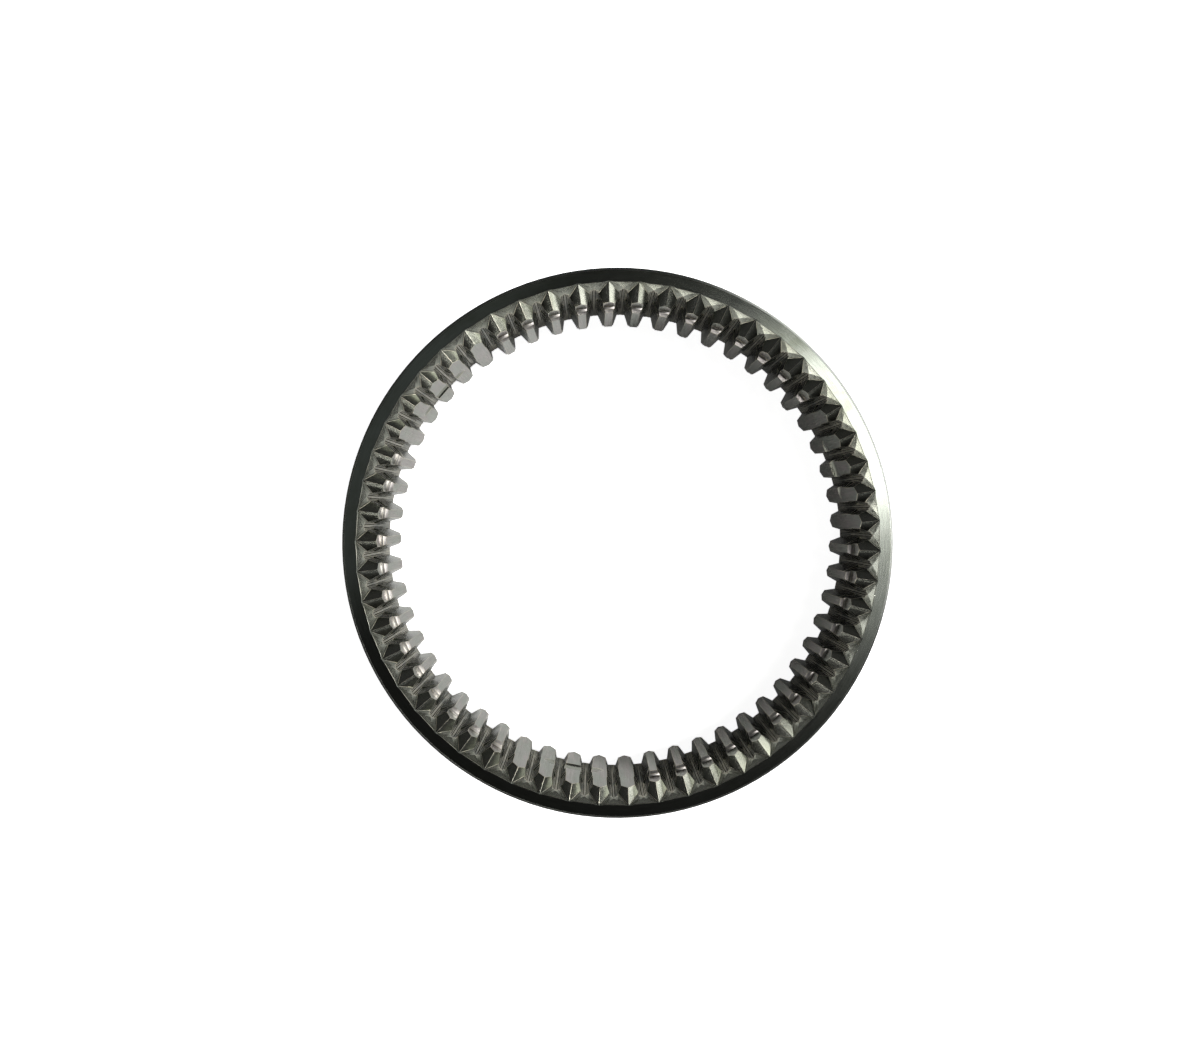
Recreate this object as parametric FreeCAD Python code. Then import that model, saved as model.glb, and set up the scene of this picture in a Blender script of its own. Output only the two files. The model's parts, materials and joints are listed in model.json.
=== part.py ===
import FreeCAD, Part
import math
import os

from FreeCAD import Vector

# Gear selector ring: a sliding sleeve, turned, broached and ground from one steel forging.
# All sizes are millimetres and degrees. The origin is the centre of the bore on the lower
# end face, +Z is the axis of the ring, and +X passes through the middle of a relieved group.

# Ring body: the rim is what stands outside the floor of the tooth spaces
ring_length = 18.0
rim_thickness = 3.65
outer_chamfer = 0.65

# Groove for the shift fork, round the middle of the outside
fork_groove_width = 7.0
fork_groove_depth = 1.6
fork_groove_corner = 0.4
fork_groove_lip = 0.3

# Internal teeth: straight flanks, each at flank_angle from the tooth's own centre line
tooth_count = 54
tooth_module = 1.7
tooth_backlash = 0.11
flank_angle = 27.0
root_depth = 2.45
root_corner = 0.2

# Tooth heights above the root: the ordinary tooth is low at both ends and tall in the middle
middle_tooth_height = 3.45
end_tooth_height = 2.53
crest_step_depth = 3.9
crest_step_bevel = 0.46

# Relieved teeth: groups of short teeth that leave room for the detent balls
group_count = 3
group_teeth = 5
relieved_tooth_height = 2.02

# Pointed tooth ends: a sloping ridge between two facets, which run out into leaning walls
ridge_reach = 0.98
ridge_slope = 18.8
facet_slope = 40.0
end_wall_lean = 27.7
end_wall_turn = 9.9

# Bevel at the mouth of each tooth space
mouth_bevel = 0.85
mouth_bevel_slope = 54.0

# Flank relief: the flanks are thinned from each end, so that a gear in mesh stays in mesh
relief_at_crest = 0.02
relief_at_root = 0.3
relief_length = 5.8
relief_runout_slope = 18.6
relief_above_root = 0.25

# Detent grooves across the middle of each relieved group
detent_depth = 0.62
detent_cutter_radius = 18.9
detent_profile_radius = 1.8

# Worked out from the sizes above
pitch_angle = 360.0 / tooth_count
pitch_radius = tooth_count * tooth_module / 2
tooth_width = math.pi * tooth_module / 2 - tooth_backlash
root_radius = pitch_radius + root_depth
outer_radius = root_radius + rim_thickness
middle_crest_radius = root_radius - middle_tooth_height
end_crest_radius = root_radius - end_tooth_height
relieved_crest_radius = root_radius - relieved_tooth_height
ridge_radius = root_radius + ridge_reach
mouth_radius = root_radius + mouth_bevel
half_length = ring_length / 2
overcut = 1.0

AXIS = Vector(0, 0, 1)
CENTRE = Vector(0, 0, 0)


def tangent(angle):
    """The tangent of an angle in degrees."""
    return math.tan(math.radians(angle))


def turned(shape, angle):
    """A copy of the shape turned about the ring's axis."""
    copy = shape.copy()
    copy.rotate(CENTRE, AXIS, angle)
    return copy


def both_ends(shape):
    """The shape at the upper end and its mirror image at the lower end."""
    return [shape, shape.mirror(Vector(0, 0, half_length), AXIS)]


def both_sides(shapes):
    """The shapes beside the tooth's centre plane and their mirror images."""
    return shapes + [shape.mirror(CENTRE, Vector(0, 1, 0)) for shape in shapes]


def outline(points):
    """A closed outline in the XZ plane through (radius, height) points."""
    corners = [Vector(radius, 0, height) for radius, height in points]
    return Part.makePolygon(corners + corners[:1])


def flat_faced(first, second):
    """The solid between two closed rows of corners, with flat sides."""
    faces = [Part.Face(Part.makePolygon(row + row[:1])) for row in (first, second)]
    for index in range(len(first)):
        side = [first[index - 1], first[index], second[index], second[index - 1]]
        faces.append(Part.Face(Part.makePolygon(side + side[:1])))
    return Part.makeSolid(Part.makeShell(faces))


def turned_point(x, y, angle):
    """The point (x, y) turned about the ring's axis, at height zero."""
    cosine = math.cos(math.radians(angle))
    sine = math.sin(math.radians(angle))
    return Vector(x * cosine - y * sine, x * sine + y * cosine, 0)


def tooth_half_width(distance):
    """Half the tooth's width at a distance from the axis, along its centre line."""
    return tooth_width / 2 + (distance - pitch_radius) * tangent(flank_angle)


def root_distance():
    """How far along the tooth's centre line its flanks meet the floor of the spaces."""
    half_pitch = math.radians(pitch_angle / 2)
    reach = root_radius - tooth_half_width(0) * math.sin(half_pitch)
    return reach / (math.cos(half_pitch) + tangent(flank_angle) * math.sin(half_pitch))


def outside_profile():
    """The outside of the ring from the lower face to the upper face, as (radius, height)."""
    low_lip = half_length - fork_groove_width / 2
    high_lip = half_length + fork_groove_width / 2
    floor = outer_radius - fork_groove_depth
    shoulder = outer_radius - fork_groove_lip
    return [
        (outer_radius - outer_chamfer, 0),
        (outer_radius, outer_chamfer),
        (outer_radius, low_lip - fork_groove_lip),
        (shoulder, low_lip),
        (floor + fork_groove_corner, low_lip),
        (floor, low_lip + fork_groove_corner),
        (floor, high_lip - fork_groove_corner),
        (floor + fork_groove_corner, high_lip),
        (shoulder, high_lip),
        (outer_radius, high_lip + fork_groove_lip),
        (outer_radius, ring_length - outer_chamfer),
        (outer_radius - outer_chamfer, ring_length),
    ]


def ordinary_crest():
    """The crest of an ordinary tooth from the upper face to the lower face."""
    step_foot = middle_crest_radius + crest_step_bevel
    upper = [
        (end_crest_radius, ring_length),
        (end_crest_radius, ring_length - crest_step_depth),
        (step_foot, ring_length - crest_step_depth),
        (middle_crest_radius, ring_length - crest_step_depth - crest_step_bevel),
    ]
    lower = [(radius, ring_length - height) for radius, height in reversed(upper)]
    return upper + lower


def relieved_crest():
    """The crest of a relieved tooth from the upper face to the lower face."""
    return [(relieved_crest_radius, ring_length), (relieved_crest_radius, 0)]


def sector_blank():
    """One pitch of the turned ring, before any tooth is cut."""
    bore = middle_crest_radius - overcut
    profile = outline(outside_profile() + [(bore, ring_length), (bore, 0)])
    return Part.Face(turned(profile, -pitch_angle / 2)).revolve(CENTRE, AXIS, pitch_angle)


def crest_cutter(crest):
    """Everything on the bore's side of a crest, as wide as one pitch."""
    bore = middle_crest_radius - 2 * overcut
    half_width = pitch_radius * tangent(pitch_angle)
    highest, lowest = crest[0][0], crest[-1][0]
    ends = [(lowest, -overcut), (bore, -overcut), (bore, ring_length + overcut)]
    face = Part.Face(outline(crest + ends + [(highest, ring_length + overcut)]))
    face.translate(Vector(0, -half_width, 0))
    return face.extrude(Vector(0, 2 * half_width, 0))


def tooth_space():
    """The broached space beside the tooth on its +Y side, with bevelled root corners."""
    inner = middle_crest_radius - 2 * overcut
    root = root_distance()
    rise = root - root_corner * math.cos(math.radians(flank_angle))
    flank = [turned_point(x, tooth_half_width(x), 0) for x in (inner, rise)]
    half_floor = turned_point(root, tooth_half_width(root), -pitch_angle / 2)
    flank.append(turned_point(half_floor.x, half_floor.y + root_corner, pitch_angle / 2))
    next_flank = [turned_point(point.x, -point.y, pitch_angle) for point in reversed(flank)]
    mouth = Part.Face(Part.makePolygon(flank + next_flank + flank[:1]))
    prism = mouth.extrude(Vector(0, 0, ring_length + 2 * overcut))
    prism.translate(Vector(0, 0, -overcut))
    return prism


def flank_relief():
    """The wedge that thins the tooth's +Y flank near the upper end."""
    along = turned_point(1, 0, flank_angle)
    inward = Vector(along.y, -along.x, 0)
    crest = Vector(middle_crest_radius, tooth_half_width(middle_crest_radius), ring_length)
    flank = (root_distance() - middle_crest_radius) / math.cos(math.radians(flank_angle))
    reach = flank - relief_above_root
    gain = (relief_at_root - relief_at_crest) / reach
    rows = []
    for distance in (-2 * overcut, reach):
        foot = crest + along * distance
        cut = relief_at_crest + gain * distance
        runout = relief_length + (cut + overcut) / tangent(relief_runout_slope)
        rows.append([
            foot + inward * across + Vector(0, 0, -depth)
            for across, depth in (
                (-overcut, -overcut),
                (cut, -overcut),
                (cut, relief_length),
                (-overcut, runout),
            )
        ])
    return flat_faced(*rows)


def roof():
    """Everything under the two facets and the sloping ridge of the upper tooth end."""
    half_width = 2 * pitch_radius * tangent(pitch_angle)
    start = ridge_radius + 2 * overcut
    apex = ring_length + 2 * overcut * tangent(ridge_slope)
    eave = apex - half_width * tangent(facet_slope)
    base = -ring_length
    gable = [
        Vector(start, 0, apex),
        Vector(start, half_width, eave),
        Vector(start, half_width, base),
        Vector(start, -half_width, base),
        Vector(start, -half_width, eave),
    ]
    run = start - middle_crest_radius + 2 * overcut
    face = Part.Face(Part.makePolygon(gable + gable[:1]))
    return face.extrude(Vector(-run, 0, -run * tangent(ridge_slope)))


def mouth_bevels():
    """What the bevelling tool takes off: a flat bevel at the space on each side."""
    slope = tangent(mouth_bevel_slope)
    top = ring_length + overcut * slope
    inner = middle_crest_radius - 2 * overcut
    profile = [
        Vector(mouth_radius + overcut, 0, top),
        Vector(inner, 0, ring_length - (mouth_radius - inner) * slope),
        Vector(inner, 0, top),
    ]
    next_profile = [
        turned_point(corner.x, 0, pitch_angle) + Vector(0, 0, corner.z) for corner in profile
    ]
    return both_sides([flat_faced(profile, next_profile)])


def end_pocket():
    """The space that the pointing cutter clears over the tooth end, back to two leaning walls."""
    half_width = pitch_radius * tangent(pitch_angle)
    inner = middle_crest_radius - 2 * overcut
    rims = []
    for level in (-2 * crest_step_depth, overcut):
        height = ring_length + level
        back = ridge_radius + level * tangent(end_wall_lean) / math.cos(math.radians(end_wall_turn))
        side = back - half_width * tangent(end_wall_turn)
        rims.append([
            Vector(back, 0, height),
            Vector(side, half_width, height),
            Vector(inner, half_width, height),
            Vector(inner, -half_width, height),
            Vector(side, -half_width, height),
        ])
    return flat_faced(*rims)


def tooth_end():
    """All that is cut away round the upper tooth end."""
    return end_pocket().fuse(mouth_bevels()).cut(roof())


def tooth_sector(crest):
    """One pitch of the finished ring, with its tooth on the +X axis."""
    cutters = both_sides([tooth_space()] + both_ends(flank_relief())) + both_ends(tooth_end())
    return sector_blank().cut([crest_cutter(crest)] + cutters)


def is_relieved(index):
    """True where the tooth with this index belongs to a relieved group."""
    step = tooth_count // group_count
    offset = (index + step // 2) % step - step // 2
    return abs(offset) <= group_teeth // 2


def detent_groove():
    """The ring that the detent cutter sweeps across the middle of a relieved group."""
    cutter_centre = relieved_crest_radius + detent_depth - detent_cutter_radius
    rim_centre = cutter_centre - detent_cutter_radius + detent_profile_radius
    rim = Part.Circle(Vector(rim_centre, 0, half_length), Vector(0, 1, 0), detent_profile_radius)
    profile = Part.Face(Part.Wire(rim.toShape()))
    return profile.revolve(Vector(cutter_centre, 0, 0), AXIS, 360)


def merged(shape):
    """The shape with the faces and edges that carry on into each other made one."""
    joiner = Part.ShapeUpgrade.UnifySameDomain(shape, True, True, False)
    joiner.build()
    return joiner.shape()


def selector_ring():
    """The whole ring, joined from its sectors and then cut by the detent cutter."""
    ordinary = tooth_sector(ordinary_crest())
    relieved = tooth_sector(relieved_crest())
    sectors = []
    for index in range(tooth_count):
        sector = relieved if is_relieved(index) else ordinary
        sectors.append(turned(sector, index * pitch_angle))
    ring = merged(sectors[0].multiFuse(sectors[1:]))
    groove = detent_groove()
    return ring.cut([turned(groove, 360.0 * group / group_count) for group in range(group_count)])


os.makedirs("parts", exist_ok=True)
ring = selector_ring()
if ring.ShapeType == "Compound":
    ring = ring.Solids[0]
ring.exportStep("parts/selector_ring.step")
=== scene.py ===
import json
import math

import bpy
from bpy.props import FloatProperty, FloatVectorProperty, IntProperty, PointerProperty
from mathutils import Euler, Matrix, Vector

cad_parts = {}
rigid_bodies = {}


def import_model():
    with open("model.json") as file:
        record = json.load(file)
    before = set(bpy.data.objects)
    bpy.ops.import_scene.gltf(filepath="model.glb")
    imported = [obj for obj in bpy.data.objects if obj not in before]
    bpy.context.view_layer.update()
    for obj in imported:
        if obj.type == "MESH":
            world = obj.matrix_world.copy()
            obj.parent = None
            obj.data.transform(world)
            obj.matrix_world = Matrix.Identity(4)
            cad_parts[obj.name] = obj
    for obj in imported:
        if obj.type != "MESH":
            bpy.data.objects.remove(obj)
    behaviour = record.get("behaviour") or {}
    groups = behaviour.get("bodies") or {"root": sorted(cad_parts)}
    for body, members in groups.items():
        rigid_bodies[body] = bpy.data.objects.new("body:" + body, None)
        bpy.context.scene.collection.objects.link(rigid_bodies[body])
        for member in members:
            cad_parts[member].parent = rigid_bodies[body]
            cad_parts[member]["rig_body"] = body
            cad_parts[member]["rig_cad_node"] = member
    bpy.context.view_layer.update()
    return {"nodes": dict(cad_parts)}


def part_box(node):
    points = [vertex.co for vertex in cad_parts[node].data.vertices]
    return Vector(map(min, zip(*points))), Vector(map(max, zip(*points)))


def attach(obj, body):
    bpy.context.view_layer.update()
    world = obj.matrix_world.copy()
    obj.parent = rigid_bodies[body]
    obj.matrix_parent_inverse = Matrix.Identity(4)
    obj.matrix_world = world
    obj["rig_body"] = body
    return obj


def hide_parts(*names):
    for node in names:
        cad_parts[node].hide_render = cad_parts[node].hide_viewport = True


bl_info = {
    "name": "Gear selector ring",
    "version": (1, 0, 0),
    "blender": (4, 5, 0),
    "location": "3D View > Sidebar > Selector ring",
    "description": "Finishes a gear selector ring: honed edges, ground and broached steel, a stage",
    "category": "Object",
}

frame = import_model()

NODE = "selector_ring"
PANEL_TAB = "Selector ring"
HONED_FACE_ATTRIBUTE = "honed_face"
MILLIMETRE = 0.001
highest_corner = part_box(NODE)[1]

# How the copy's mesh is cleaned and its edges are honed. A face belongs to a honed edge when it
# is narrower than the edge's width times the slack.
WELD_DISTANCE = 0.002 * MILLIMETRE
FLAT_ANGLE = math.radians(0.6)
SHARP_ANGLE = math.radians(14)
SMOOTH_ANGLE = math.radians(32)
BEVEL_SLACK = 1.2

# Distances from the axis, where a finish, a painted shade or a painted highlight begins and where
# it is full
STEP_RADII = (45.9 * MILLIMETRE, 45.7 * MILLIMETRE)
ROOT_RADII = (47.1 * MILLIMETRE, 48.1 * MILLIMETRE)
WORN_AND_HIGHLIT_RADII = (49.3 * MILLIMETRE, 48.8 * MILLIMETRE)
MOUTH_INNER_RADII = (48.9 * MILLIMETRE, 49.1 * MILLIMETRE)
MOUTH_OUTER_RADII = (50.3 * MILLIMETRE, 50.0 * MILLIMETRE)

# Share of the normal along the axis, or towards it, where a finish or a painted shade begins and
# where it is full
FLAT_FACING = 0.97
MILLED_FACING = (0.1, 0.25)
CHAMFER_FACING = (0.2, 0.5)
FLANK_FACING = (0.7, 0.4)

# How fine each pattern is, per metre and along each axis, with its detail and roughness
GRIND_SCALE = (9000.0, 9000.0, 9000.0)
GRIND_TURN = 0.0012
GRIND_NOISE = (1.0, 3.0, 0.6)
STREAK_SCALE = (5200.0, 5200.0, 260.0)
STREAK_NOISE = (1.0, 3.0, 0.65)
SMEAR_SCALE = (420.0, 420.0, 160.0)
SMEAR_NOISE = (1.0, 3.0, 0.7)
GRAIN_NOISE = (2600.0, 3.0, 0.6)
PATCH_NOISE = (75.0, 4.0, 0.6)

# Between which values of its noise each pattern shows
OIL_PATCHES = (0.4, 0.68)
OIL_SMEARS = (0.35, 0.65)
BROACHED_SMEARS = (0.35, 0.7)
WORN_AND_HIGHLIT_SMEARS = (0.3, 0.6)
MARK_DEPTHS = (0.62, 0.3)

# How strongly each tint, painted shade and painted highlight covers the steel at most, and the oil
# at least in its patches
OIL_LEAST = 0.35
BROACHED_TINT = 0.7
# Painted shade: the roots between the teeth and the tooth flanks are darkened with the groove
# colour
ROOT_SHADE = 0.9
FLANK_SHADE = 0.7
MARK_SOOT = 0.3
# Painted shade: the honed edge at the mouth of the teeth is darkened
MOUTH_SHADE = 0.9
TURNED_SOOT = 0.35
# The upward chamfer is darkened beyond the turned outside: partly dark turned steel, partly painted
# shade
CHAMFER_SOOT_AND_SHADE = 0.5
MILLED_SHINE = 0.15
# Painted highlight: the small bevels between the low and the tall crests are brightened
STEP_HIGHLIGHT = 0.9

# Roughness of each finish, and what the marks, the patches, the honed edges and the step bevels add
# to it
FACE_ROUGHNESS = 0.19
TURNED_ROUGHNESS = 0.25
BROACHED_ROUGHNESS = 0.26
MILLED_ROUGHNESS = 0.2
MARK_ROUGHNESS = 0.12
PATCH_ROUGHNESS = 0.06
WEAR_ROUGHNESS = 0.12
STEP_ROUGHNESS = 0.2

# How high each pattern stands, in bump distances
FACE_HEIGHT = 0.25
TURNED_HEIGHT = 0.5
STREAK_HEIGHT = 1.4
GRAIN_HEIGHT = 0.8
SMEAR_HEIGHT = 0.8
BUMP_STRENGTH = 0.35
BUMP_DISTANCE = 0.02 * MILLIMETRE

# The table's side by the window: its azimuth in degrees, and the cosines where its light begins
# and is full. The paper's soft edge ends at this many paper radii.
WINDOW_AZIMUTH = 64
WINDOW_SIDE = (0.66, 0.96)
PAPER_EDGE = 1.4

# The room: the heights above the horizon between which the walls' light and the horizon's fade
WALL_HEIGHTS = (0.75, 0.35)
HORIZON_HEIGHTS = (0.15, 0.07)

# The lamps and the camera: angles in degrees, distances in metres, widths in millimetres
KEY_AZIMUTH, KEY_ELEVATION = 88, 45
KEY_ANGLE = math.radians(8)
LAMP_DISTANCE = 0.9
SENSOR_WIDTH = 36.0
CLIP_START = 0.001
WHITE = (1.0, 1.0, 1.0)
WINDOW_WHITE = (1.0, 1.0, 0.97)
TOP_WHITE = (1.0, 1.0, 0.94)
LOW_WHITE = (1.0, 0.99, 0.95)
ROSY_WHITE = (1.0, 0.97, 0.97)
SKY_WHITE = (0.9, 1.0, 1.0)


class RingSettings(bpy.types.PropertyGroup):
    """The sizes and colours of the finished steel."""

    edge_width: FloatProperty(
        name="Edge width",
        description="Width of the honed bevel on every sharp edge",
        default=0.05 * MILLIMETRE,
        min=0.0,
        unit="LENGTH",
    )
    edge_segments: IntProperty(
        name="Edge segments",
        description="How many faces each honed bevel has across",
        default=2,
        min=1,
        max=4,
    )
    face_inner_radius: FloatProperty(
        name="Face inner radius",
        description="Radius where the ground end face begins and the teeth end",
        default=49.24 * MILLIMETRE,
        min=0.0,
        unit="LENGTH",
    )
    steel_colour: FloatVectorProperty(
        name="Steel colour",
        description="Colour of the ground steel",
        default=(0.265, 0.28, 0.25),
        subtype="COLOR",
        min=0.0,
        max=1.0,
    )
    oil_colour: FloatVectorProperty(
        name="Oil colour",
        description="Tint that the oil and heat treatment leave in patches",
        default=(0.19, 0.205, 0.165),
        subtype="COLOR",
        min=0.0,
        max=1.0,
    )
    broached_colour: FloatVectorProperty(
        name="Broached colour",
        description="Warmer tint in the streaks along the teeth",
        default=(0.33, 0.29, 0.29),
        subtype="COLOR",
        min=0.0,
        max=1.0,
    )
    # The edge colour is partly worn bare steel and partly a painted highlight along the honed edges
    # of the teeth
    edge_colour: FloatVectorProperty(
        name="Edge colour",
        description="Bright steel where the edges are worn",
        default=(0.5, 0.47, 0.38),
        subtype="COLOR",
        min=0.0,
        max=1.0,
    )
    # Painted highlight: this colour brightens the small bevels between the low and the tall crests
    step_colour: FloatVectorProperty(
        name="Step colour",
        description="Rubbed steel on the small bevels between the low and the tall crests",
        default=(0.5, 0.47, 0.46),
        subtype="COLOR",
        min=0.0,
        max=1.0,
    )
    # The groove colour is a real dark tint in the tool marks and on the turned outside, and painted
    # shade in the roots, on the flanks, at the mouth and on the chamfer
    soot_colour: FloatVectorProperty(
        name="Groove colour",
        description="Dark tint in the bottoms of the tool marks",
        default=(0.085, 0.09, 0.08),
        subtype="COLOR",
        min=0.0,
        max=1.0,
    )


class StageSettings(bpy.types.PropertyGroup):
    """The floor, the lamps and the camera."""

    floor_colour: FloatVectorProperty(
        name="Floor colour",
        description="Colour of the table that the ring lies on",
        default=(0.95, 0.95, 0.95),
        subtype="COLOR",
        min=0.0,
        max=1.0,
    )
    floor_size: FloatProperty(
        name="Floor size",
        description="Length of each side of the table",
        default=4.0,
        min=0.5,
        unit="LENGTH",
    )
    floor_glow: FloatProperty(
        name="Floor glow",
        description="How much the table shines by itself in the picture",
        default=0.92,
        min=0.0,
    )
    floor_sheen: FloatProperty(
        name="Floor sheen",
        description="How much the table shines by itself where steel mirrors it",
        default=0.06,
        min=0.0,
    )
    table_colour: FloatVectorProperty(
        name="Table colour",
        description="Colour that steel mirrors beyond the white paper round the ring",
        default=(0.12, 0.12, 0.12),
        subtype="COLOR",
        min=0.0,
        max=1.0,
    )
    paper_radius: FloatProperty(
        name="Paper radius",
        description="How far the white paper reaches from the ring's centre, as steel mirrors it",
        default=62.0 * MILLIMETRE,
        min=0.01,
        unit="LENGTH",
    )
    # Painted light: the window sheen is a glow that the table has only in reflections, standing in
    # for window light on its far side
    window_sheen: FloatProperty(
        name="Window sheen",
        description="How bright steel mirrors the part of the table that the window shines on",
        default=3.4,
        min=0.0,
    )
    wall_light: FloatProperty(
        name="Wall light",
        description="Brightness of the lower half of the room",
        default=0.05,
        min=0.0,
    )
    horizon_light: FloatProperty(
        name="Horizon light",
        description="Brightness of the room at the height of the table",
        default=0.25,
        min=0.0,
    )
    ceiling_light: FloatProperty(
        name="Ceiling light",
        description="Brightness of the room overhead",
        default=0.015,
        min=0.0,
    )
    key_strength: FloatProperty(
        name="Key strength",
        description="Strength of the key light from the right",
        default=2.3,
        min=0.0,
    )
    focal_length: FloatProperty(
        name="Focal length",
        description="Focal length of the camera on a 36 mm wide sensor, in millimetres",
        default=18.66,
        min=1.0,
    )
    camera_height: FloatProperty(
        name="Camera height",
        description="Distance of the camera from the upper face, along its view",
        default=116.69 * MILLIMETRE,
        min=0.01,
        unit="LENGTH",
    )
    camera_offset: FloatVectorProperty(
        name="Camera offset",
        description="Where the upper face's centre stands in the picture: to the right and up",
        default=(3.591 * MILLIMETRE, -3.390 * MILLIMETRE),
        size=2,
        unit="LENGTH",
    )
    camera_turn: FloatVectorProperty(
        name="Camera turn",
        description="How the ring lies to the camera: lean to the top and the side, and turn",
        default=(math.radians(1.587), math.radians(0.163), math.radians(18.933)),
        subtype="EULER",
    )


class Value:
    """A number socket that adds Math nodes when it is used in an expression."""

    def __init__(self, nodes, socket):
        self.nodes = nodes
        self.socket = socket

    def maths(self, operation, *values):
        return self.nodes.add("ShaderNodeMath", {"operation": operation}, *values)

    def __add__(self, other):
        return self.maths("ADD", self, other)

    __radd__ = __add__

    def __sub__(self, other):
        return self.maths("SUBTRACT", self, other)

    def __rsub__(self, other):
        return self.maths("SUBTRACT", other, self)

    def __mul__(self, other):
        return self.maths("MULTIPLY", self, other)

    __rmul__ = __mul__

    def __truediv__(self, other):
        return self.maths("DIVIDE", self, other)

    def __pow__(self, other):
        return self.maths("POWER", self, other)

    def __abs__(self):
        return self.maths("ABSOLUTE", self)

    def most(self, other):
        return self.maths("MAXIMUM", self, other)

    def above(self, other):
        return self.maths("GREATER_THAN", self, other)

    def ramp(self, low, high):
        """0 at low, 1 at high, smooth between them."""
        settings = {"interpolation_type": "SMOOTHSTEP"}
        return self.nodes.add("ShaderNodeMapRange", settings, self, low, high)


class Nodes:
    """The node tree of one material, world or lamp."""

    def __init__(self, owner):
        owner.use_nodes = True
        self.tree = owner.node_tree
        self.tree.nodes.clear()

    def add(self, kind, settings=None, *values, out=0, **named):
        """A node of this type with its settings and its sockets' values or links, as a Value."""
        node = self.tree.nodes.new(kind)
        for name, setting in (settings or {}).items():
            setattr(node, name, setting)
        sockets = dict(enumerate(values))
        sockets.update({name.replace("_", " "): value for name, value in named.items()})
        for key, value in sockets.items():
            if isinstance(value, Value):
                self.tree.links.new(value.socket, node.inputs[key])
            elif value is not None:
                node.inputs[key].default_value = value
        return Value(self, node.outputs[out])

    def parts(self, vector):
        """The three numbers of a vector."""
        node = self.tree.nodes.new("ShaderNodeSeparateXYZ")
        self.tree.links.new(vector.socket, node.inputs[0])
        return [Value(self, socket) for socket in node.outputs]

    def joined(self, x, y, z):
        """A vector made of three numbers."""
        return self.add("ShaderNodeCombineXYZ", None, x, y, z)

    def noise(self, place, scale, detail, roughness):
        """Noise between 0 and 1."""
        kind = "ShaderNodeTexNoise"
        return self.add(kind, None, Vector=place, Scale=scale, Detail=detail, Roughness=roughness)

    def stretched(self, place, scale):
        """The place with each axis multiplied: a pattern is drawn out along the small ones."""
        return self.add("ShaderNodeVectorMath", {"operation": "MULTIPLY"}, place, scale)

    def mixed(self, share, first, second):
        """The first colour, going over to the second as share goes from 0 to 1."""
        node = self.tree.nodes.new("ShaderNodeMix")
        node.data_type = "RGBA"
        # The node has sockets for each kind of value: 6 and 7 in, and 2 out, are its colours.
        for key, value in ((0, share), (6, first), (7, second)):
            if isinstance(value, Value):
                self.tree.links.new(value.socket, node.inputs[key])
            else:
                node.inputs[key].default_value = value
        return Value(self, node.outputs[2])

    def finish(self, shader, kind="ShaderNodeOutputMaterial"):
        output = self.tree.nodes.new(kind)
        self.tree.links.new(shader.socket, output.inputs["Surface"])


def opaque(colour):
    """A colour with its fourth value."""
    return (*colour, 1.0)


def deselect_all():
    if bpy.context.mode != "OBJECT":
        bpy.ops.object.mode_set(mode="OBJECT")
    bpy.ops.object.select_all(action="DESELECT")


def make_active(piece):
    deselect_all()
    piece.select_set(True)
    bpy.context.view_layer.objects.active = piece


def copy_of_node(name, new_name):
    """A separate copy of a CAD node, with a mesh of its own."""
    node = frame["nodes"][name]
    make_active(node)
    bpy.ops.object.duplicate(linked=False)
    piece = bpy.context.object
    piece.name = new_name
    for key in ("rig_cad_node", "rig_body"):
        if key in piece:
            del piece[key]
    bpy.ops.object.parent_clear(type="CLEAR_KEEP_TRANSFORM")
    piece.data.name = new_name
    piece.data.materials.clear()
    return piece


def joined_faces(piece):
    """The loose triangles of the copy are merged, and flat stretches become one face each."""
    make_active(piece)
    bpy.ops.mesh.customdata_custom_splitnormals_clear()
    bpy.ops.object.mode_set(mode="EDIT")
    bpy.ops.mesh.select_all(action="SELECT")
    bpy.ops.mesh.remove_doubles(threshold=WELD_DISTANCE)
    bpy.ops.mesh.dissolve_limited(angle_limit=FLAT_ANGLE)
    bpy.ops.object.mode_set(mode="OBJECT")


def honed_edges(piece, width, segments):
    """Every sharp edge gets a narrow round bevel, marked as a honed face for edge wear, painted
    highlight and painted shade, and the large faces stay flat.
    """
    make_active(piece)
    bpy.ops.object.mode_set(mode="EDIT")
    bpy.ops.mesh.select_mode(type="EDGE")
    bpy.ops.mesh.select_all(action="DESELECT")
    bpy.ops.mesh.edges_select_sharp(sharpness=SHARP_ANGLE)
    bpy.ops.mesh.bevel(
        offset_type="OFFSET",
        offset=width,
        segments=segments,
        affect="EDGES",
        clamp_overlap=False,
    )
    bpy.ops.object.mode_set(mode="OBJECT")
    mesh = piece.data
    worn_and_highlit = mesh.attributes.new(HONED_FACE_ATTRIBUTE, "FLOAT", "FACE")
    for face in mesh.polygons:
        corners = [mesh.vertices[index].co for index in face.vertices]
        longest = max((corners[i] - corners[i - 1]).length for i in range(len(corners)))
        worn_and_highlit.data[face.index].value = float(face.area < BEVEL_SLACK * width * longest)
    bpy.ops.object.mode_set(mode="EDIT")
    bpy.ops.mesh.select_all(action="SELECT")
    bpy.ops.mesh.quads_convert_to_tris(quad_method="BEAUTY", ngon_method="BEAUTY")
    bpy.ops.object.mode_set(mode="OBJECT")
    bpy.ops.object.shade_smooth_by_angle(angle=SMOOTH_ANGLE)
    bpy.ops.object.modifier_add(type="WEIGHTED_NORMAL")
    piece.modifiers[-1].keep_sharp = True
    bpy.ops.object.modifier_apply(modifier=piece.modifiers[-1].name)


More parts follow.
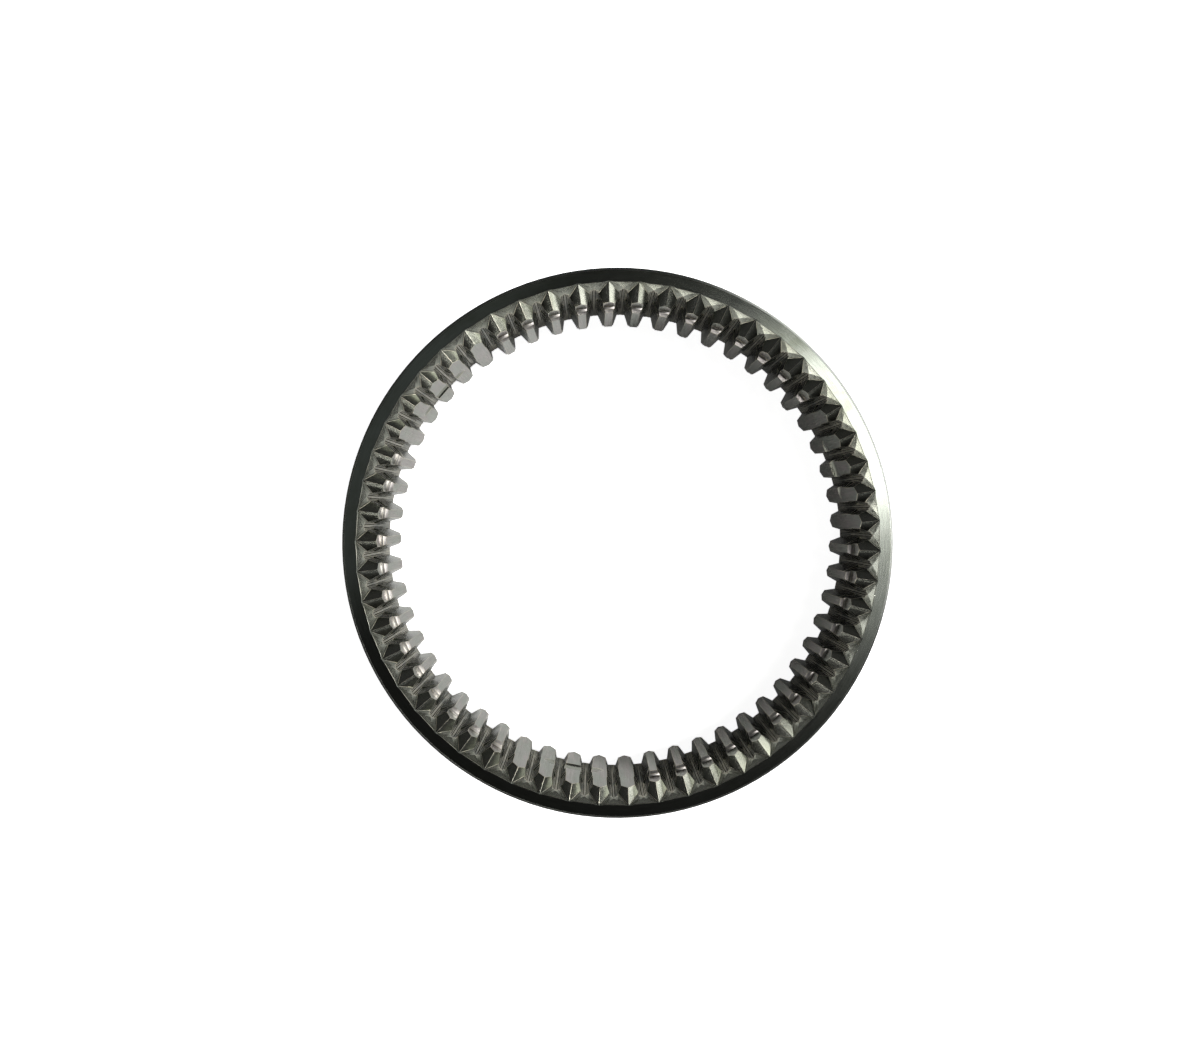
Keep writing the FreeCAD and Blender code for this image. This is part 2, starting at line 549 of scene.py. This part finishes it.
def steel_material(settings):
    """Dark steel: ground faces, a turned outside, broached teeth and milled tooth ends."""
    material = bpy.data.materials.new("ground_steel")
    nodes = Nodes(material)
    place = nodes.add("ShaderNodeTexCoord", None, out="Object")
    facing = nodes.add("ShaderNodeTexCoord", None, out="Normal")
    x, y, z = nodes.parts(place)
    normal_x, normal_y, normal_z = nodes.parts(facing)
    upward = abs(normal_z)
    radius = (x * x + y * y) ** 0.5
    inward = abs((x * normal_x + y * normal_y) / radius)
    angle = nodes.add("ShaderNodeMath", {"operation": "ARCTAN2"}, y, x)

    outside = radius.above(settings.face_inner_radius)
    face = outside * upward.above(FLAT_FACING)
    turned = outside * (1.0 - face)
    teeth = 1.0 - outside
    milled = teeth * upward.ramp(*MILLED_FACING)
    broached = teeth * (1.0 - upward.ramp(*MILLED_FACING))
    flank = broached * inward.ramp(*FLANK_FACING)
    step = milled * radius.ramp(*STEP_RADII)
    root = broached * radius.ramp(*ROOT_RADII)
    mouth = radius.ramp(*MOUTH_INNER_RADII) * radius.ramp(*MOUTH_OUTER_RADII)
    honed_face = nodes.add("ShaderNodeAttribute", {"attribute_name": HONED_FACE_ATTRIBUTE}, out="Fac")

    around = nodes.joined(radius, angle * GRIND_TURN, z)
    grind = nodes.noise(nodes.stretched(around, GRIND_SCALE), *GRIND_NOISE)
    streaks = nodes.noise(nodes.stretched(place, STREAK_SCALE), *STREAK_NOISE)
    smears = nodes.noise(nodes.stretched(place, SMEAR_SCALE), *SMEAR_NOISE)
    grain = nodes.noise(place, *GRAIN_NOISE)
    patches = nodes.noise(place, *PATCH_NOISE)
    marks = grind * (face + turned) + streaks * broached + grain * milled

    oil, broach, soot_and_shade, edge = (
        opaque(tint)
        for tint in (
            settings.oil_colour,
            settings.broached_colour,
            settings.soot_colour,
            settings.edge_colour,
        )
    )
    smeared = OIL_LEAST + (1.0 - OIL_LEAST) * smears.ramp(*OIL_SMEARS)
    oiled = patches.ramp(*OIL_PATCHES) * smeared
    # Painted shade in the tooth roots and on the tooth flanks
    painted_tooth_shade = (ROOT_SHADE * root).most(FLANK_SHADE * flank)
    # Dark turned steel on the outside, and on the chamfer partly painted shade
    turned_soot_and_shade = (TURNED_SOOT + CHAMFER_SOOT_AND_SHADE * upward.ramp(*CHAMFER_FACING)) * turned
    streaked = BROACHED_TINT * broached * smears.ramp(*BROACHED_SMEARS)
    worn_and_highlit = honed_face * smears.ramp(*WORN_AND_HIGHLIT_SMEARS) * radius.ramp(*WORN_AND_HIGHLIT_RADII)
    colour = nodes.mixed(oiled, opaque(settings.steel_colour), oil)
    colour = nodes.mixed(streaked, colour, broach)
    colour = nodes.mixed(painted_tooth_shade, colour, soot_and_shade)
    colour = nodes.mixed(MILLED_SHINE * milled, colour, edge)
    # Painted highlight on the step bevels between the low and the tall crests
    colour = nodes.mixed(STEP_HIGHLIGHT * step, colour, opaque(settings.step_colour))
    colour = nodes.mixed(turned_soot_and_shade, colour, soot_and_shade)
    colour = nodes.mixed(MARK_SOOT * marks.ramp(*MARK_DEPTHS), colour, soot_and_shade)
    # Painted shade on the honed edge at the mouth of the teeth, which hides its highlight
    colour = nodes.mixed(MOUTH_SHADE * honed_face * mouth, colour, soot_and_shade)
    # Partly edge wear and partly painted highlight on the honed edges of the teeth
    colour = nodes.mixed(worn_and_highlit, colour, edge)

    roughness = FACE_ROUGHNESS * face + TURNED_ROUGHNESS * turned
    roughness = roughness + BROACHED_ROUGHNESS * broached + MILLED_ROUGHNESS * milled
    roughness = roughness + MARK_ROUGHNESS * (marks - 0.5) + PATCH_ROUGHNESS * (patches - 0.5)
    roughness = roughness + WEAR_ROUGHNESS * honed_face + STEP_ROUGHNESS * step
    height = grind * (FACE_HEIGHT * face + TURNED_HEIGHT * turned)
    height = height + STREAK_HEIGHT * streaks * broached + GRAIN_HEIGHT * grain * milled
    height = height + SMEAR_HEIGHT * smears * teeth
    relief = {"Strength": BUMP_STRENGTH, "Distance": BUMP_DISTANCE, "Height": height}
    bump = nodes.add("ShaderNodeBump", None, **relief)
    steel = nodes.add(
        "ShaderNodeBsdfPrincipled",
        None,
        Base_Color=colour,
        Metallic=1.0,
        Roughness=roughness,
        Normal=bump,
    )
    nodes.finish(steel)
    return material


class RING_OT_selector_ring(bpy.types.Operator):
    """Makes the finished ring from the fixed frame's solid"""

    bl_idname = "ring.selector_ring"
    bl_label = "Selector ring"

    def execute(self, context):
        settings = context.scene.ring_settings
        ring = copy_of_node(NODE, "finished_selector_ring")
        joined_faces(ring)
        honed_edges(ring, settings.edge_width, settings.edge_segments)
        ring.data.materials.append(steel_material(settings))
        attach(ring, "root")
        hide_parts(NODE)
        return {"FINISHED"}


def direction(azimuth, elevation, turn):
    """The way to a place in the room, for a ring that is turned in the picture by this much.

    Azimuth is in degrees clockwise from the picture's top, elevation in degrees above the table.
    """
    rise = math.radians(elevation)
    level = Matrix.Rotation(math.radians(-azimuth), 3, "Z") @ Vector((0, math.cos(rise), 0))
    level.z = math.sin(rise)
    return Matrix.Rotation(-turn, 3, "Z") @ level


def panel(name, towards, size, radiance, colour=WHITE, distance=LAMP_DISTANCE):
    """A rectangular soft lamp that faces the ring. Radiance is its own brightness."""
    place = towards * distance
    bpy.ops.object.light_add(type="AREA", location=place)
    light = bpy.context.object
    light.name = name
    light.data.shape = "RECTANGLE"
    light.data.size, light.data.size_y = size
    light.data.energy = radiance * math.pi * size[0] * size[1]
    light.data.color = colour
    light.rotation_euler = towards.to_track_quat("Z", "Y").to_euler()


def floor_material(settings):
    """A floor that the camera sees white, with the ring's shadow.

    Steel mirrors the white paper under the ring, and past it a darker table by the window.
    """
    material = bpy.data.materials.new("white_table")
    nodes = Nodes(material)
    rays = nodes.tree.nodes.new("ShaderNodeLightPath")
    camera = Value(nodes, rays.outputs["Is Camera Ray"])
    glossy = Value(nodes, rays.outputs["Is Glossy Ray"])
    transmission = Value(nodes, rays.outputs["Is Transmission Ray"])
    mirrored = glossy.most(transmission)
    x, y, _ = nodes.parts(nodes.add("ShaderNodeTexCoord", None, out="Object"))
    distance = (x * x + y * y) ** 0.5
    beyond = distance.ramp(settings.paper_radius, PAPER_EDGE * settings.paper_radius)
    window = direction(WINDOW_AZIMUTH, 0, settings.camera_turn[2])
    window_side = ((x * window.x + y * window.y) / distance).ramp(*WINDOW_SIDE)
    # Painted light: past the paper, the window side of the table glows in reflections as a painted
    # pool of window light
    sheen = settings.floor_sheen * (1.0 - beyond) + settings.window_sheen * beyond * window_side
    glow = camera * settings.floor_glow + (1.0 - camera) * mirrored * sheen
    emission = nodes.add("ShaderNodeEmission", None, opaque(WHITE), glow)
    paper, table = opaque(settings.floor_colour), opaque(settings.table_colour)
    colour = nodes.mixed(mirrored * beyond, paper, table)
    cloth = nodes.add("ShaderNodeBsdfDiffuse", None, colour)
    nodes.finish(nodes.add("ShaderNodeAddShader", None, emission, cloth))
    return material


def room(settings):
    """The room: pale near the horizon and dark overhead, but white where the camera sees it."""
    world = bpy.data.worlds.new("white_room")
    nodes = Nodes(world)
    rays = nodes.tree.nodes.new("ShaderNodeLightPath")
    camera = Value(nodes, rays.outputs["Is Camera Ray"])
    height = nodes.parts(nodes.add("ShaderNodeTexCoord", None, out="Generated"))[2]
    walls = settings.wall_light * height.ramp(*WALL_HEIGHTS)
    horizon = settings.horizon_light * height.ramp(*HORIZON_HEIGHTS)
    light = walls + horizon + settings.ceiling_light
    strength = camera + (1.0 - camera) * light
    background = nodes.add("ShaderNodeBackground", None, opaque(WHITE), strength)
    nodes.finish(background, "ShaderNodeOutputWorld")
    return world


class RING_OT_stage(bpy.types.Operator):
    """Adds the table, the lamps, the surroundings and the camera"""

    bl_idname = "ring.stage"
    bl_label = "Stage"

    def execute(self, context):
        settings = context.scene.stage_settings
        deselect_all()
        bpy.ops.mesh.primitive_plane_add(size=settings.floor_size, location=(0, 0, 0))
        floor = context.object
        floor.name = "table"
        floor.data.materials.append(floor_material(settings))

        context.scene.world = room(settings)
        yaw = settings.camera_turn[2]
        panel("window", direction(72, 51, yaw), (0.25, 0.84), 5.6, WINDOW_WHITE)
        panel("window_side", direction(80, 60, yaw), (0.5, 0.5), 0.6, distance=0.95)
        panel("high_left", direction(300, 64, yaw), (0.7, 0.3), 0.12, SKY_WHITE)
        panel("low_right", direction(83, 10.5, yaw), (0.42, 0.11), 5.4, WINDOW_WHITE)
        panel("low_back", direction(116, 3.5, yaw), (0.6, 0.09), 1.1)
        panel("low_top", direction(60, 19.5, yaw), (0.22, 0.13), 6.0, TOP_WHITE)
        panel("low_left", direction(218, 4.8, yaw), (1.5, 0.13), 6.8, LOW_WHITE)
        panel("side_left", direction(212, 27, yaw), (0.5, 0.12), 4.0, ROSY_WHITE)
        panel("low_front", direction(158, 4, yaw), (0.6, 0.1), 2.8)
        panel("low_side", direction(276, 4, yaw), (0.4, 0.12), 3.2)
        sunward = direction(KEY_AZIMUTH, KEY_ELEVATION, yaw)
        bpy.ops.object.light_add(type="SUN", location=sunward)
        sun = context.object
        sun.name = "key"
        sun.data.energy = settings.key_strength
        sun.data.angle = KEY_ANGLE
        sun.rotation_euler = sunward.to_track_quat("Z", "Y").to_euler()

        turn = Euler(settings.camera_turn, "XYZ").to_matrix()
        offset = Vector((*settings.camera_offset, -settings.camera_height))
        centre = Vector((0, 0, highest_corner.z))
        bpy.ops.object.camera_add()
        camera_object = context.object
        camera_object.name = "camera"
        camera_object.data.sensor_width = SENSOR_WIDTH
        camera_object.data.lens = settings.focal_length
        camera_object.data.clip_start = CLIP_START
        place = Matrix.Translation(centre - turn.transposed() @ offset)
        camera_object.matrix_world = place @ turn.transposed().to_4x4()
        context.scene.camera = camera_object
        context.scene.view_settings.view_transform = "Standard"
        return {"FINISHED"}


class RING_PT_panel(bpy.types.Panel):
    """Lists the steps that make the ring and its stage"""

    bl_label = "Gear selector ring"
    bl_space_type = "VIEW_3D"
    bl_region_type = "UI"
    bl_category = PANEL_TAB

    def draw(self, context):
        layout = self.layout
        for settings in (context.scene.ring_settings, context.scene.stage_settings):
            for name in settings.bl_rna.properties.keys():
                if name not in {"rna_type", "name"}:
                    layout.prop(settings, name)
        layout.operator(RING_OT_selector_ring.bl_idname)
        layout.operator(RING_OT_stage.bl_idname)


CLASSES = (RingSettings, StageSettings, RING_OT_selector_ring, RING_OT_stage, RING_PT_panel)


def register():
    for one in CLASSES:
        bpy.utils.register_class(one)
    bpy.types.Scene.ring_settings = PointerProperty(type=RingSettings)
    bpy.types.Scene.stage_settings = PointerProperty(type=StageSettings)


def unregister():
    del bpy.types.Scene.stage_settings
    del bpy.types.Scene.ring_settings
    for one in reversed(CLASSES):
        bpy.utils.unregister_class(one)


def main():
    register()
    bpy.ops.ring.selector_ring()
    bpy.ops.ring.stage()


if __name__ == "__main__":
    main()
